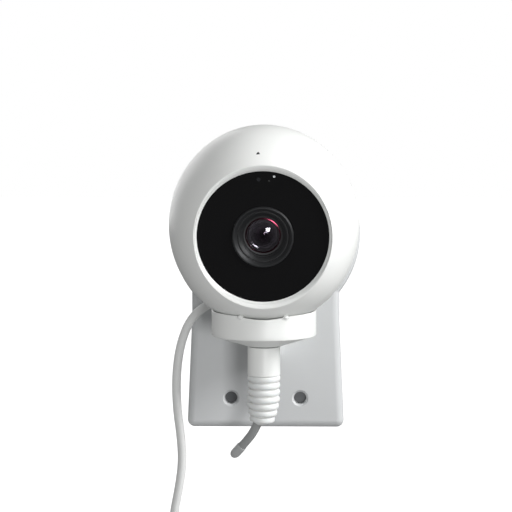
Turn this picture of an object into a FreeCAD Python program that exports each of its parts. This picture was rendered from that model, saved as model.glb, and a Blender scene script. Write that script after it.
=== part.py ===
# Wall-mounted baby monitor camera. Millimetres, +Z up, the wall is the plane Y = 0 and the camera looks
# along -Y. The origin is the centre of the four wall-screw holes, on the back face of the wall plate.
import FreeCAD, Part
import math
import os

V = FreeCAD.Vector
X, Y, Z = V(1, 0, 0), V(0, 1, 0), V(0, 0, 1)

# ---- driving dimensions ----
HEAD_CENTRE = V(0, -52, 53)      # where the pan axis (Z) meets the tilt axis (X)
HEAD_R = 40.0                    # head radius across the tilt axis
HEAD_HALF_WIDTH = 38.0           # head half width along the tilt axis
SHELL_WALL = 2.2
SPLIT_Y = 3.0                    # seam between the two head shells, behind the tilt axis
FACE_Y = -28.6                   # flat front of the head
FACE_BORE_R = 26.2               # opening for the bezel
LIP_Y = -28.0                    # where the sloping lip meets the bezel ring
PANEL_Y = -27.2                  # front of the black panel
PANEL_T = 1.5
PANEL_R = 25.35
BARREL_R = 11.8
TILT_LIMIT = 15.0                # degrees, both ways from level
REST_TILT = 6.5                  # the lens looks down by this much at rest
PAN_LIMIT = 95.0                 # degrees, both ways
AXLE_R = 2.0
RUNNING = 0.05                   # radial clearance of the turning fits

PLATE_T = 6.0
PLATE_BOTTOM = -38.0
PLATE_HALF_WIDTH = 34.2          # at the tail
PLATE_WAIST = 32.0
PLATE_DISC_R = 40.8              # the round upper part, behind the head
PLATE_DISC_Z = 46.5
SCREW_X, SCREW_Z, SCREW_HOLE_R = 15.0, 25.0, 2.7
SINK = 0.9                       # depth and growth of the countersinks

STEM_R = 6.57
STEM_BOTTOM = -7.5
SHOULDER_Z = 4.2                 # the stem's shoulder, below the collar
SPIGOT_R = 4.5
SPIGOT_TOP = 10.2
STEM_BORE_R = 2.2
COLLAR_R = 21.0
COLLAR_WALL = 1.8
COLLAR_BOTTOM = 9.0
BASE_BOTTOM = 4.6
RIM_GAP = 0.4                    # between the head and the collar's rim
NOTCH_R, NOTCH_DEPTH = 38.9, 1.36    # shallow arc in the front of the rim
NUB_X, NUB_R = 10.2, 1.2         # the round nubs at the ends of that arc
POST_HALF = V(6.0, 2.2, 0)       # half section of the tilt post

LEAD_D = 3.6                     # probe lead
LEAD_ROUTE = [(0, -52, -7.5), (0, -52, -13.2), (-0.4, -51.8, -19.2), (-1.6, -51.2, -25.0), (-3.6, -50.2, -30.0),
              (-6.2, -48.6, -34.2), (-9.0, -46.7, -37.6)]
PROBE_D, PROBE_LENGTH = 4.3, 7.2
CORD_D = 3.8                     # power cord
CORD_ROUTE = [(-11, -13, 19.3), (-18.3, -12.9, 18.9), (-25.4, -12.4, 16.3), (-31.4, -11.6, 11.2),
              (-35.2, -10.8, 3.6), (-37.6, -10.2, -5.9), (-38.6, -9.9, -17.2), (-38.2, -9.6, -29.5),
              (-36.6, -9.2, -41.3), (-36.0, -8.6, -52.6), (-37.6, -7.8, -64.0), (-40.0, -6.8, -75.5),
              (-41.2, -5.4, -88.0), (-41.0, -3.9, -100.5), (-40.6, -3.0, -112.0)]
COIL_CENTRE = V(-15.4, -8.8, -112.0)
COIL_RADII = (17.6, 21.4, 25.2)  # one radius for each layer of turns
COIL_DEPTH_TURNS = 4
COIL_PITCH = 3.9
TAIL_ROUTE = [(-40.6, -14.6, -112), (-41.0, -13.9, -119.5), (-40.6, -12.8, -126.5), (-39.8, -12.2, -133.0)]
PLUG_HALF_WIDTH, PLUG_HALF_DEPTH, PLUG_BODY_LENGTH, PLUG_TAIL = 7.8, 4.0, 24.0, 9.0

NODES = {}


# ---- plain shapes ----
def box(low, high):
    return Part.makeBox(high[0] - low[0], high[1] - low[1], high[2] - low[2], V(*low))


def rod(r, start, end):
    start, end = V(*start), V(*end)
    return Part.makeCylinder(r, (end - start).Length, start, end - start)


def ring(outer, inner, start, end):
    return rod(outer, start, end).cut(rod(inner, start, end))


def cone(r_start, r_end, start, end):
    start, end = V(*start), V(*end)
    return Part.makeCone(r_start, r_end, (end - start).Length, start, end - start)


def turned_y(profile, x=0.0, z=0.0):
    """Turn (radius, y) points about an axis along Y through (x, z)."""
    points = [V(r, y, 0) for r, y in profile]
    face = Part.Face(Part.makePolygon(points + [points[0]]))
    solid = face.revolve(V(0, 0, 0), Y, 360)
    solid.translate(V(x, 0, z))
    return solid


def turned_z(profile, centre=V(0, 0, 0)):
    """Turn (radius, z) points about a vertical axis through centre."""
    points = [V(r, 0, z) for r, z in profile]
    face = Part.Face(Part.makePolygon(points + [points[0]]))
    solid = face.revolve(V(0, 0, 0), Z, 360)
    solid.translate(centre)
    return solid


def spheroid(grow=0.0):
    """The head's outer shape, grown or shrunk, about its own centre: round across X and narrower along it.
    Its poles lie on the camera's axis, where the face opening and the speaker grille cut them away."""
    r = HEAD_R + grow
    ball = Part.makeSphere(r)
    ball.rotate(V(0, 0, 0), X, 90)
    narrow = FreeCAD.Matrix()
    narrow.scale((HEAD_HALF_WIDTH + grow) / r, 1, 1)
    return ball.transformGeometry(narrow)


def solid_of(shape):
    """One clean solid from a shape made by booleans, or a group of them."""
    merged = shape.removeSplitter()
    if merged.isValid() and abs(merged.Volume - shape.Volume) < 0.001 * shape.Volume:
        shape = merged
    solids = shape.Solids
    return solids[0] if len(solids) == 1 else Part.makeCompound(solids)


def keep(node, shape, in_head=False, on_head=False):
    """Store a node. Pieces in the head are drawn about its centre and moved here, and those on it also lean."""
    shape = solid_of(shape)
    if on_head:
        shape.rotate(V(0, 0, 0), X, REST_TILT)
    if in_head or on_head:
        shape.translate(HEAD_CENTRE)
    NODES[node] = shape
    return shape


def arc_path(points):
    """Straight runs joined by tangent arcs, each as large as its two runs allow."""
    points = [V(*p) for p in points]
    edges, radii, length = [], [], 0.0
    start = points[0]
    for before, corner, after in zip(points, points[1:], points[2:]):
        into, out = (corner - before).normalize(), (after - corner).normalize()
        half_turn = into.getAngle(out) / 2
        reach = 0.45 * min((corner - before).Length, (after - corner).Length)
        radius = reach / math.tan(half_turn)
        first, last = corner - into * reach, corner + out * reach
        bisector = (out - into).normalize()
        middle = corner + bisector * (radius / math.cos(half_turn) - radius)
        edges += [Part.LineSegment(start, first).toShape(), Part.Arc(first, middle, last).toShape()]
        length += (first - start).Length + 2 * half_turn * radius
        radii.append(radius)
        start = last
    edges.append(Part.LineSegment(start, points[-1]).toShape())
    length += (points[-1] - start).Length
    return Part.Wire(edges), radii, length


def cord(node, points, diameter):
    """The plain tube of a cord, with its radii and volume reported."""
    path, radii, length = arc_path(points)
    along = (V(*points[1]) - V(*points[0])).normalize()
    circle = Part.Wire(Part.makeCircle(diameter / 2, V(*points[0]), along))
    tube = path.makePipeShell([circle], True, False)
    expected = math.pi * diameter ** 2 / 4 * length
    print(node, "length %.1f" % length, "radii", " ".join("%.1f" % r for r in radii),
          "volume / expected %.4f" % (tube.Volume / expected))
    return keep(node, tube)


# ---- wall side: everything that stays still ----
def wall_plate():
    """A keyhole-shaped cover plate: a round upper part and a waisted tail, hollow at the back."""
    disc = Part.makeCylinder(PLATE_DISC_R, PLATE_T, V(0, 0, PLATE_DISC_Z), V(0, -1, 0))
    waist_z = 10.5
    outline = [V(-PLATE_HALF_WIDTH, 0, PLATE_BOTTOM), V(PLATE_HALF_WIDTH, 0, PLATE_BOTTOM),
               V(PLATE_WAIST, 0, waist_z), V(PLATE_WAIST, 0, PLATE_DISC_Z),
               V(-PLATE_WAIST, 0, PLATE_DISC_Z), V(-PLATE_WAIST, 0, waist_z)]
    tail = Part.Face(Part.makePolygon(outline + [outline[0]])).extrude(V(0, -PLATE_T, 0))
    corners = [e for e in tail.Edges if abs(e.Vertexes[0].Z - PLATE_BOTTOM) < 1e-6
               and abs(e.Vertexes[-1].Z - PLATE_BOTTOM) < 1e-6 and abs(e.tangentAt(e.FirstParameter).y) > 0.9]
    tail = tail.makeFillet(3.2, corners)
    plate = disc.fuse(tail).removeSplitter()
    front = [e for e in plate.Edges if all(abs(v.Y + PLATE_T) < 1e-6 for v in e.Vertexes)
             and abs(e.tangentAt((e.FirstParameter + e.LastParameter) / 2).y) < 1e-6]
    plate = plate.makeFillet(3.2, front)
    for side in (-1, 1):
        pocket = box((8, -2.6, -17), (27, 1, 17))
        if side < 0:
            pocket = pocket.mirror(V(0, 0, 0), X)
        plate = plate.cut(pocket)
        for z in (-SCREW_Z, SCREW_Z):
            hole = rod(SCREW_HOLE_R, (side * SCREW_X, 1, z), (side * SCREW_X, -PLATE_T - 1, z))
            sink = cone(SCREW_HOLE_R + SINK, SCREW_HOLE_R, (side * SCREW_X, -PLATE_T, z),
                        (side * SCREW_X, SINK - PLATE_T, z))
            plate = plate.cut(hole).cut(sink)
    for x, z in ARM_SCREWS:
        plate = plate.cut(rod(1.6, (x, 1, z), (x, -PLATE_T - 1, z))).cut(rod(3.2, (x, 1, z), (x, -2.4, z)))
    return plate


ARM_SCREWS = [(0, 0.0), (0, 13.0)]
FOOT_TOP, GLAND_Z = 24.0, 19.3


def bracket_arm():
    """The arm from the plate to the stem, with an upright foot where it meets the plate."""
    beam = box((-5.5, -49, -6), (5.5, -PLATE_T, 2.6))
    foot = box((-6, -21, -6), (6, -PLATE_T, FOOT_TOP))
    brace_points = [V(0, -21, FOOT_TOP - 5), V(0, -21, 2.6), V(0, -29, 2.6)]
    brace = Part.Face(Part.makePolygon(brace_points + [brace_points[0]])).extrude(V(5, 0, 0))
    brace.translate(V(-2.5, 0, 0))
    arm = beam.fuse([foot, brace]).removeSplitter()
    arm = arm.cut(rod(STEM_R, (0, -52, -20), (0, -52, 20)))
    arm = arm.cut(rod(2.0, (0, -13, GLAND_Z), (-7, -13, GLAND_Z)))
    for x, z in ARM_SCREWS:
        arm = arm.cut(rod(1.25, (x, -PLATE_T + 1, z), (x, -17, z)))
    return arm


def arm_screws():
    """Two countersunk screws that hold the arm from behind the plate."""
    parts = []
    for x, z in ARM_SCREWS:
        head = cone(3.0, 1.6, (x, -0.4, z), (x, -2.3, z))
        shank = rod(1.2, (x, -2.3, z), (x, -16, z))
        slot = box((x - 2, -0.9, z - 0.35), (x + 2, 0, z + 0.35))
        parts.append(head.fuse(shank).cut(slot))
    return Part.makeCompound(parts)


def stem():
    x, y = HEAD_CENTRE.x, HEAD_CENTRE.y
    body = rod(STEM_R, (x, y, STEM_BOTTOM), (x, y, SHOULDER_Z))
    body = body.makeChamfer(0.5, [e for e in body.Edges if abs(e.Vertexes[0].Z - SHOULDER_Z) < 1e-6
                                  and len(e.Vertexes) == 1])
    spigot = rod(SPIGOT_R, (x, y, SHOULDER_Z), (x, y, SPIGOT_TOP))
    bore = rod(STEM_BORE_R, (x, y, STEM_BOTTOM - 1), (x, y, SPIGOT_TOP + 1))
    return body.fuse(spigot).cut(bore)


def on_pan_axis(outer, inner, low, high):
    x, y = HEAD_CENTRE.x, HEAD_CENTRE.y
    return ring(outer, inner, (x, y, low), (x, y, high))


def pan_stop_plate():
    """A washer with a wide sector that the stop pin runs into at either end of the pan."""
    washer = on_pan_axis(6.6, SPIGOT_R, 8.5, 9.1)
    half = 180 - PAN_LIMIT - math.degrees(math.asin(0.9 / 9.3)) - 2.4
    sector = Part.makeCylinder(10.6, 0.6, V(0, 0, 8.5), Z, 2 * half)
    sector.rotate(V(0, 0, 0), Z, -90 - half)
    sector.translate(V(HEAD_CENTRE.x, HEAD_CENTRE.y, 0))
    bore = rod(SPIGOT_R, (0, HEAD_CENTRE.y, 8), (0, HEAD_CENTRE.y, 10))
    return washer.fuse(sector).cut(bore)


def pan_nut():
    nut = Part.Face(Part.makePolygon([V(7.2 * math.cos(math.radians(60 * k)),
                                        HEAD_CENTRE.y + 7.2 * math.sin(math.radians(60 * k)), 9.1)
                                      for k in range(7)])).extrude(V(0, 0, 1.1))
    return nut.cut(rod(SPIGOT_R, (0, HEAD_CENTRE.y, 8), (0, HEAD_CENTRE.y, 12)))


def strain_relief(lead):
    """Seven round ribs on a slim core, smaller and smaller along the first part of the lead."""
    top, ribs, pitch = STEM_BOTTOM, 7, 2.74
    parts = []
    for k in range(ribs):
        here, there = relief_centre(k / ribs), relief_centre((k + 1) / ribs)
        along = (there - here).normalize()
        r = relief_radius((k + 0.5) / ribs)
        rib = Part.makeCylinder(r, 0.82 * pitch, here, along)
        rib = rib.makeFillet(0.8, [e for e in rib.Edges if len(e.Vertexes) == 1])
        core = Part.makeCylinder(r - 1.2, pitch + 0.4, here, along)
        parts += [rib, core]
    end = relief_centre(1.0)
    tip = Part.makeCylinder(relief_radius(1.0) - 1.0, 1.1, end, (end - relief_centre(0.95)).normalize())
    body = parts[0].fuse(parts[1:] + [tip])
    body = body.cut(box((-20, -80, top), (20, -30, top + 5)))
    return body.cut(lead)


def relief_centre(t):
    """The relief's centre line: straight down at first, then leaning with the lead."""
    return V(-0.8 * t * t, HEAD_CENTRE.y + 0.5 * t * t, STEM_BOTTOM - 19.3 * t)


def relief_radius(t):
    """Even at first, then drawn in like the end of an ellipse."""
    return STEM_R * math.sqrt(1 - (max(t - 0.45, 0) / 0.75) ** 2)


def cord_coil(cords):
    """The outer shape of the tied coil, cut where the cord goes in and comes out."""
    slack = 0.3
    inner = COIL_RADII[0] - CORD_D / 2 - slack
    outer = COIL_RADII[-1] + CORD_D / 2 + slack
    half = COIL_DEPTH_TURNS * COIL_PITCH / 2 + slack
    middle = COIL_CENTRE
    body = ring(outer, inner, (middle.x, middle.y - half, middle.z), (middle.x, middle.y + half, middle.z))
    body = body.makeFillet(1.6, [e for e in body.Edges if len(e.Vertexes) == 1])
    return body.cut(cords[0]).cut(cords[1])


def cord_tie(coil):
    """A strap round the turns at the top of the coil."""
    top = COIL_CENTRE.z + COIL_RADII[1]
    radial, depth = 7.4, 8.1
    low = (COIL_CENTRE.x - 4, COIL_CENTRE.y - depth - 0.7, top - radial)
    high = (COIL_CENTRE.x + 4, COIL_CENTRE.y + depth + 0.7, top + radial)
    strap = box(low, high)
    strap = strap.makeFillet(1.8, [e for e in strap.Edges if abs(e.tangentAt(e.FirstParameter).x) > 0.9])
    outer = COIL_RADII[-1] + CORD_D / 2 + 0.3
    inner = COIL_RADII[0] - CORD_D / 2 - 0.3
    hollow = ring(outer, inner, (COIL_CENTRE.x, COIL_CENTRE.y - depth, COIL_CENTRE.z),
                  (COIL_CENTRE.x, COIL_CENTRE.y + depth, COIL_CENTRE.z))
    return strap.cut(hollow).cut(coil)


def usb_plug(cord_end):
    """A USB-A plug that hangs from the tail of the cord, shell downwards."""
    x, y, top = TAIL_ROUTE[-1]
    tail = cone(CORD_D / 2 + 0.5, CORD_D / 2 + 1.6, (x, y, top + 0.5), (x, y, top - PLUG_TAIL))
    low = top - PLUG_TAIL - PLUG_BODY_LENGTH
    body = box((x - PLUG_HALF_WIDTH, y - PLUG_HALF_DEPTH, low), (x + PLUG_HALF_WIDTH, y + PLUG_HALF_DEPTH, top - PLUG_TAIL))
    body = body.makeFillet(1.8, [e for e in body.Edges if abs(e.tangentAt(e.FirstParameter).z) > 0.9])
    keep("usb_plug_body", body.fuse(tail).cut(cord_end))
    shell = box((x - 6, y - 2.25, low - 12), (x + 6, y + 2.25, low))
    hollow = box((x - 5.7, y - 1.95, low - 13), (x + 5.7, y + 1.95, low - 0.4))
    windows = [box((x + side * 2.8 - 1.2, y - 3, low - 6.4), (x + side * 2.8 + 1.2, y + 3, low - 4.2))
               for side in (-1, 1)]
    keep("usb_plug_shell", shell.cut(hollow).cut(windows[0]).cut(windows[1]))
    keep("usb_plug_tongue", box((x - 5.6, y + 0.1, low - 11.2), (x + 5.6, y + 1.9, low - 0.4)))


def build_wall_side():
    keep("wall_plate", wall_plate())
    keep("arm_screws", arm_screws())
    keep("bracket_arm", bracket_arm())
    keep("stem", stem())
    keep("pan_washer", on_pan_axis(6.3, SPIGOT_R, SHOULDER_Z, BASE_BOTTOM - 0.05))
    keep("wave_washer", on_pan_axis(6.8, SPIGOT_R, 8.05, 8.45))
    keep("pan_stop_plate", pan_stop_plate())
    keep("pan_nut", pan_nut())
    x, y = HEAD_CENTRE.x, HEAD_CENTRE.y
    keep("stem_wires", rod(STEM_BORE_R - 0.5, (x, y, STEM_BOTTOM), (x, y, SPIGOT_TOP)))
    lead = cord("probe_lead", LEAD_ROUTE, LEAD_D)
    keep("probe_strain_relief", strain_relief(lead))
    end, before = V(*LEAD_ROUTE[-1]), V(*LEAD_ROUTE[-2])
    along = (end - before).normalize()
    r = PROBE_D / 2
    tip = Part.makeCylinder(r, PROBE_LENGTH - r, end, along)
    tip = tip.fuse(Part.makeSphere(r, end + along * (PROBE_LENGTH - r)))
    keep("probe_tip", tip)
    gland = cone(3.6, 2.5, (-6, -13, GLAND_Z), (-11, -13, GLAND_Z))
    gland = gland.fuse(rod(2.0, (-6, -13, GLAND_Z), (-2, -13, GLAND_Z)))
    power = cord("power_cord", CORD_ROUTE, CORD_D)
    keep("cord_gland", gland.cut(power))
    tail = cord("cord_tail", TAIL_ROUTE, CORD_D)
    coil = keep("cord_coil", cord_coil((power, tail)))
    keep("cord_tie", cord_tie(coil))
    usb_plug(tail)


# ---- pan body: the collar, its base and the tilt post ----
def build_pan():
    x, y = HEAD_CENTRE.x, HEAD_CENTRE.y
    inner = COLLAR_R - COLLAR_WALL
    low, high = COLLAR_BOTTOM - HEAD_CENTRE.z, COLLAR_BOTTOM - HEAD_CENTRE.z + 13
    collar = ring(COLLAR_R, inner, (0, 0, low), (0, 0, high)).cut(spheroid(RIM_GAP))
    notch_z = NOTCH_R - NOTCH_DEPTH - 34.45
    collar = collar.cut(rod(NOTCH_R, (0, -30, notch_z), (0, -10, notch_z)))
    for side in (-1, 1):
        nub = Part.makeSphere(NUB_R, V(side * NUB_X, -19.2, -34.2)).cut(spheroid(RIM_GAP))
        collar = collar.fuse(nub)
    keep("collar", collar, in_head=True)

    bore = SPIGOT_R + RUNNING
    profile = [(bore, BASE_BOTTOM), (7.4, BASE_BOTTOM), (COLLAR_R - 0.3, COLLAR_BOTTOM), (inner - 0.05, COLLAR_BOTTOM),
               (inner - 0.05, 10.8), (12.0, 10.8), (12.0, 8.0), (bore, 8.0)]
    base = turned_z(profile, V(x, y, 0))
    pin_place = (x, y + 9.3, 6.5)
    base = base.cut(rod(0.9, pin_place, (x, y + 9.3, 12)))
    post_screw_places = [(x + 15.0 * math.cos(a), y + 15.0 * math.sin(a)) for a in
                         (math.radians(90 + 120 * k) for k in range(3))]
    for px, py in post_screw_places:
        base = base.cut(rod(0.9, (px, py, 8.5), (px, py, 12)))
    keep("collar_base", base)
    keep("pan_stop_pin", rod(0.9, pin_place, (x, y + 9.3, 9.3)))

    axis_z = HEAD_CENTRE.z
    foot = rod(17.5, (x, y, 10.8), (x, y, 12.2))
    blade = box((x - POST_HALF.x, y - POST_HALF.y, 12.2), (x + POST_HALF.x, y + POST_HALF.y, axis_z))
    eye = rod(4.5, (x - POST_HALF.x, y, axis_z), (x + POST_HALF.x, y, axis_z))
    post = foot.fuse([blade, eye]).cut(rod(AXLE_R, (x - 10, y, axis_z), (x + 10, y, axis_z)))
    post = post.cut(rod(1.6, (x, y - 5.0, 10), (x, y - 5.0, 13)))
    for px, py in post_screw_places:
        post = post.cut(rod(1.05, (px, py, 10), (px, py, 13)))
    keep("tilt_post", post)
    screws = []
    for px, py in post_screw_places:
        shank = rod(0.9, (px, py, 8.6), (px, py, 12.2))
        screws.append(shank.fuse(rod(1.9, (px, py, 12.2), (px, py, 13.2))))
    keep("post_screws", Part.makeCompound(screws))

    keep("tilt_axle", rod(AXLE_R, (-14, 0, 0), (14, 0, 0)), in_head=True)
    clips = [ring(3.4, AXLE_R, (side * 12.2, 0, 0), (side * 12.9, 0, 0)) for side in (-1, 1)]
    keep("axle_clips", Part.makeCompound(clips), in_head=True)
    washers = [ring(4.6, AXLE_R, (side * 6.05, 0, 0), (side * 8.1, 0, 0)) for side in (-1, 1)]
    keep("friction_washers", Part.makeCompound(washers), in_head=True)
    shield = ring(35.9, 34.9, (-8, 0, 0), (8, 0, 0))
    half = math.radians(19)
    wedge_points = [V(0, 0, 0), V(0, -60 * math.sin(half), -60 * math.cos(half)),
                    V(0, 60 * math.sin(half), -60 * math.cos(half))]
    wedge = Part.Face(Part.makePolygon(wedge_points + [wedge_points[0]])).extrude(V(20, 0, 0))
    wedge.translate(V(-10, 0, 0))
    slit = box((-POST_HALF.x, -POST_HALF.y, -40), (POST_HALF.x, POST_HALF.y, 0))
    keep("dust_shield", shield.common(wedge).cut(slit), in_head=True)


# ---- head: shells, face and camera ----
def by_angle(y, z, angle):
    """Turn a (y, z) pair about the tilt axis; a positive angle lifts the front."""
    c, s = math.cos(math.radians(angle)), math.sin(math.radians(angle))
    return y * c + z * s, -y * s + z * c


def build_shells():
    shell = spheroid().cut(spheroid(-SHELL_WALL))
    slot_half = HEAD_R * math.sin(math.radians(TILT_LIMIT)) + POST_HALF.y + 0.4
    slot = box((-6.7, -slot_half, -42), (6.7, slot_half, -25))
    front = shell.common(box((-50, FACE_Y, -50), (50, SPLIT_Y, 50)))
    front = front.cut(rod(FACE_BORE_R, (0, -50, 0), (0, -20, 0))).cut(slot)
    front = front.cut(cone(FACE_BORE_R + 1.0, FACE_BORE_R, (0, FACE_Y, 0), (0, LIP_Y, 0)))
    mark = status_mark(0.06)
    front = front.cut(mark)
    keep("front_shell", front, on_head=True)
    keep("status_mark", status_mark(0.0), on_head=True)

    rear = shell.common(box((-50, SPLIT_Y, -50), (50, 50, 50))).cut(slot)
    inside = spheroid(-SHELL_WALL / 2)
    for side in (-1, 1):
        boss = rod(2.8, (side * BOSS_X, 12.0, BOSS_Z), (side * BOSS_X, 34, BOSS_Z)).common(inside)
        rear = rear.fuse(boss).cut(rod(0.9, (side * BOSS_X, 11, BOSS_Z), (side * BOSS_X, 20, BOSS_Z)))
    rear = rear.cut(rod(GRILLE_R, (0, 20, GRILLE_Z), (0, 50, GRILLE_Z)))
    rear = rear.cut(rod(BUTTON_R + 0.15, (0, 20, BUTTON_Z), (0, 50, BUTTON_Z)))
    keep("rear_shell", rear, on_head=True)
    grille = spheroid(-0.15).cut(spheroid(-1.4)).common(rod(GRILLE_R - 0.08, (0, 20, GRILLE_Z), (0, 50, GRILLE_Z)))
    for k in range(5):
        z = GRILLE_Z + 3.0 * (k - 2)
        half = math.sqrt((GRILLE_R - 2.0) ** 2 - (z - GRILLE_Z) ** 2)
        grille = grille.cut(box((-half, 20, z - 0.7), (half, 50, z + 0.7)))
    keep("speaker_grille", grille, on_head=True)


BOSS_X, BOSS_Z = 24.5, 6.0
GRILLE_R, GRILLE_Z = 11.2, -6.0
BUTTON_R, BUTTON_Z = 3.4, 20.0


def status_mark(grow):
    """A small triangular window in the brow of the front shell, square to the surface."""
    size = 1.05 + grow
    points = [V(size * math.sin(a), 0, size * math.cos(a)) for a in (math.radians(120 * k) for k in range(3))]
    prism = Part.Face(Part.makePolygon(points + [points[0]])).extrude(V(0, 3.0, 0))
    prism.translate(V(-1.8, -HEAD_R + 0.1, 0))
    prism.rotate(V(0, 0, 0), X, -52.7)
    return prism


def build_face():
    ring_profile = [(FACE_BORE_R - 0.03, LIP_Y), (FACE_BORE_R - 0.03, -23.0), (24.4, -23.0),
                    (24.4, PANEL_Y + PANEL_T), (PANEL_R + 0.03, PANEL_Y + PANEL_T), (PANEL_R + 0.03, PANEL_Y)]
    keep("bezel_ring", turned_y(ring_profile), on_head=True)
    panel = rod(PANEL_R, (0, PANEL_Y, 0), (0, PANEL_Y + PANEL_T, 0))
    panel = panel.cut(rod(BARREL_R + 0.1, (0, -40, 0), (0, 0, 0)))
    dots = {"light_sensor": (0.75, -1.6, 22.2), "microphone": (0.35, 2.4, 21.7), "status_led": (0.45, 4.3, 23.3)}
    for node, (r, x, z) in dots.items():
        panel = panel.cut(rod(r + 0.03, (x, -40, z), (x, 0, z)))
        back = PANEL_Y + PANEL_T
        piece = rod(r, (x, PANEL_Y + 0.05, z), (x, back, z)).fuse(rod(r + 0.2, (x, back, z), (x, -24.05, z)))
        keep(node, piece, on_head=True)
    keep("face_panel", panel, on_head=True)
    board = ring(24.2, 13.6, (0, -24.0, 0), (0, -23.0, 0))
    keep("led_board", board, on_head=True)
    leds = []
    for k in range(8):
        a = math.radians(22.5 + 45 * k)
        x, z = 18.5 * math.cos(a), 18.5 * math.sin(a)
        dome = rod(1.4, (x, -24.0, z), (x, -24.4, z)).fuse(cone(1.4, 0.8, (x, -24.4, z), (x, -25.5, z)))
        leds.append(dome)
    keep("ir_leds", Part.makeCompound(leds), on_head=True)


def build_camera():
    barrel = [(11.3, -28.0), (BARREL_R, -27.5), (BARREL_R, -17.0), (6.3, -17.0), (6.3, -22.6), (7.7, -22.6),
              (7.7, -24.8), (8.3, -24.8), (8.3, -25.8), (9.5, -25.8), (9.5, -26.8), (10.5, -26.8), (10.5, -27.6)]
    keep("lens_barrel", turned_y(barrel), on_head=True)
    sag, r = 1.6, 7.65
    curve_r = (r ** 2 + sag ** 2) / (2 * sag)
    lens = rod(r, (0, -25.0, 0), (0, -22.6, 0)).common(Part.makeSphere(curve_r, V(0, -25.0 + curve_r, 0)))
    keep("front_lens", lens, on_head=True)
    keep("lens_retainer", ring(7.65, 6.9, (0, -24.8, 0), (0, -23.85, 0)), on_head=True)
    keep("rear_lens", rod(6.25, (0, -21.4, 0), (0, -19.6, 0)), on_head=True)
    holder = box((-9, -17.0, -9), (9, -11.0, 9)).cut(rod(5.5, (0, -18, 0), (0, -13.4, 0)))
    keep("lens_holder", holder.cut(box((-5.2, -13.4, -5.2), (5.2, -10, 5.2))), on_head=True)
    keep("ir_filter_glass", box((-5.1, -13.3, -5.1), (5.1, -12.8, 5.1)), on_head=True)
    keep("image_sensor", box((-4.6, -12.0, -3.8), (4.6, -11.0, 3.8)), on_head=True)
    board = box((-17.5, -11.0, -17.5), (17.5, -9.8, 17.5))
    pillars, screws = [], []
    for x in (-15.5, 15.5):
        for z in (-15.5, 15.5):
            board = board.cut(rod(0.9, (x, -12, z), (x, -9, z)))
            pillars.append(ring(1.6, 0.85, (x, -9.8, z), (x, 10.4, z)))
            screws.append(rod(0.8, (x, -11.0, z), (x, -6.0, z)).fuse(rod(1.6, (x, -12.1, z), (x, -11.0, z))))
    keep("camera_board", board, on_head=True)
    keep("board_pillars", Part.makeCompound(pillars), on_head=True)
    keep("board_screws", Part.makeCompound(screws), on_head=True)


def build_inside():
    frame = box((-18.5, 10.4, -22), (18.5, 12.0, 24)).fuse(box((-28, 10.4, -2), (28, 12.0, 14)))
    for side in (-1, 1):
        low, high = sorted((side * 8.2, side * 12.0))
        lug = box((low, 0, -4.5), (high, 10.4, 4.5)).fuse(rod(4.5, (low, 0, 0), (high, 0, 0)))
        frame = frame.fuse(lug)
        frame = frame.cut(rod(1.0, (side * BOSS_X, 9, BOSS_Z), (side * BOSS_X, 13, BOSS_Z)))
    frame = frame.cut(rod(AXLE_R + RUNNING, (-20, 0, 0), (20, 0, 0)))
    keep("inner_frame", frame, on_head=True)
    screws = []
    for side in (-1, 1):
        x = side * BOSS_X
        shank = rod(0.85, (x, 10.4, BOSS_Z), (x, 18, BOSS_Z))
        screws.append(shank.fuse(rod(1.8, (x, 9.2, BOSS_Z), (x, 10.4, BOSS_Z))))
    keep("frame_screws", Part.makeCompound(screws), on_head=True)
    keep("main_board", box((-20.5, 12.0, -22), (20.5, 13.4, 24)), on_head=True)
    keep("antenna", box((-10, 9.8, 17.2), (10, 10.4, 23.5)), on_head=True)

    keep("speaker_magnet", rod(8, (0, 13.8, GRILLE_Z), (0, 18, GRILLE_Z)), on_head=True)
    frame_profile = [(13, 18.0), (13, 22.4), (12.2, 22.4), (12.2, 18.8), (7.0, 18.8), (7.0, 18.0)]
    keep("speaker_frame", turned_y(frame_profile, z=GRILLE_Z), on_head=True)
    cone_profile = [(3.0, 19.0), (3.0, 19.4), (12.1, 22.4), (12.1, 22.0), (4.0, 19.0)]
    keep("speaker_cone", turned_y(cone_profile, z=GRILLE_Z), on_head=True)

    switch = box((-3, 13.4, BUTTON_Z - 3), (3, 16.0, BUTTON_Z + 3))
    keep("pair_switch", switch, on_head=True)
    button = rod(1.5, (0, 17.0, BUTTON_Z), (0, 26.4, BUTTON_Z)).fuse(rod(4.3, (0, 26.4, BUTTON_Z), (0, 27.4, BUTTON_Z)))
    cap = rod(BUTTON_R, (0, 27.4, BUTTON_Z), (0, 40, BUTTON_Z)).common(spheroid(0.7))
    keep("pair_button", button.fuse(cap), on_head=True)


def main():
    build_wall_side()
    build_pan()
    build_shells()
    build_face()
    build_camera()
    build_inside()
    os.makedirs("parts", exist_ok=True)
    for node, shape in NODES.items():
        shape.exportStep("parts/%s.step" % node)
    print(len(NODES), "nodes")


main()
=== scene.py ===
import math
import bpy
import bmesh
from mathutils import Matrix, Vector


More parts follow.
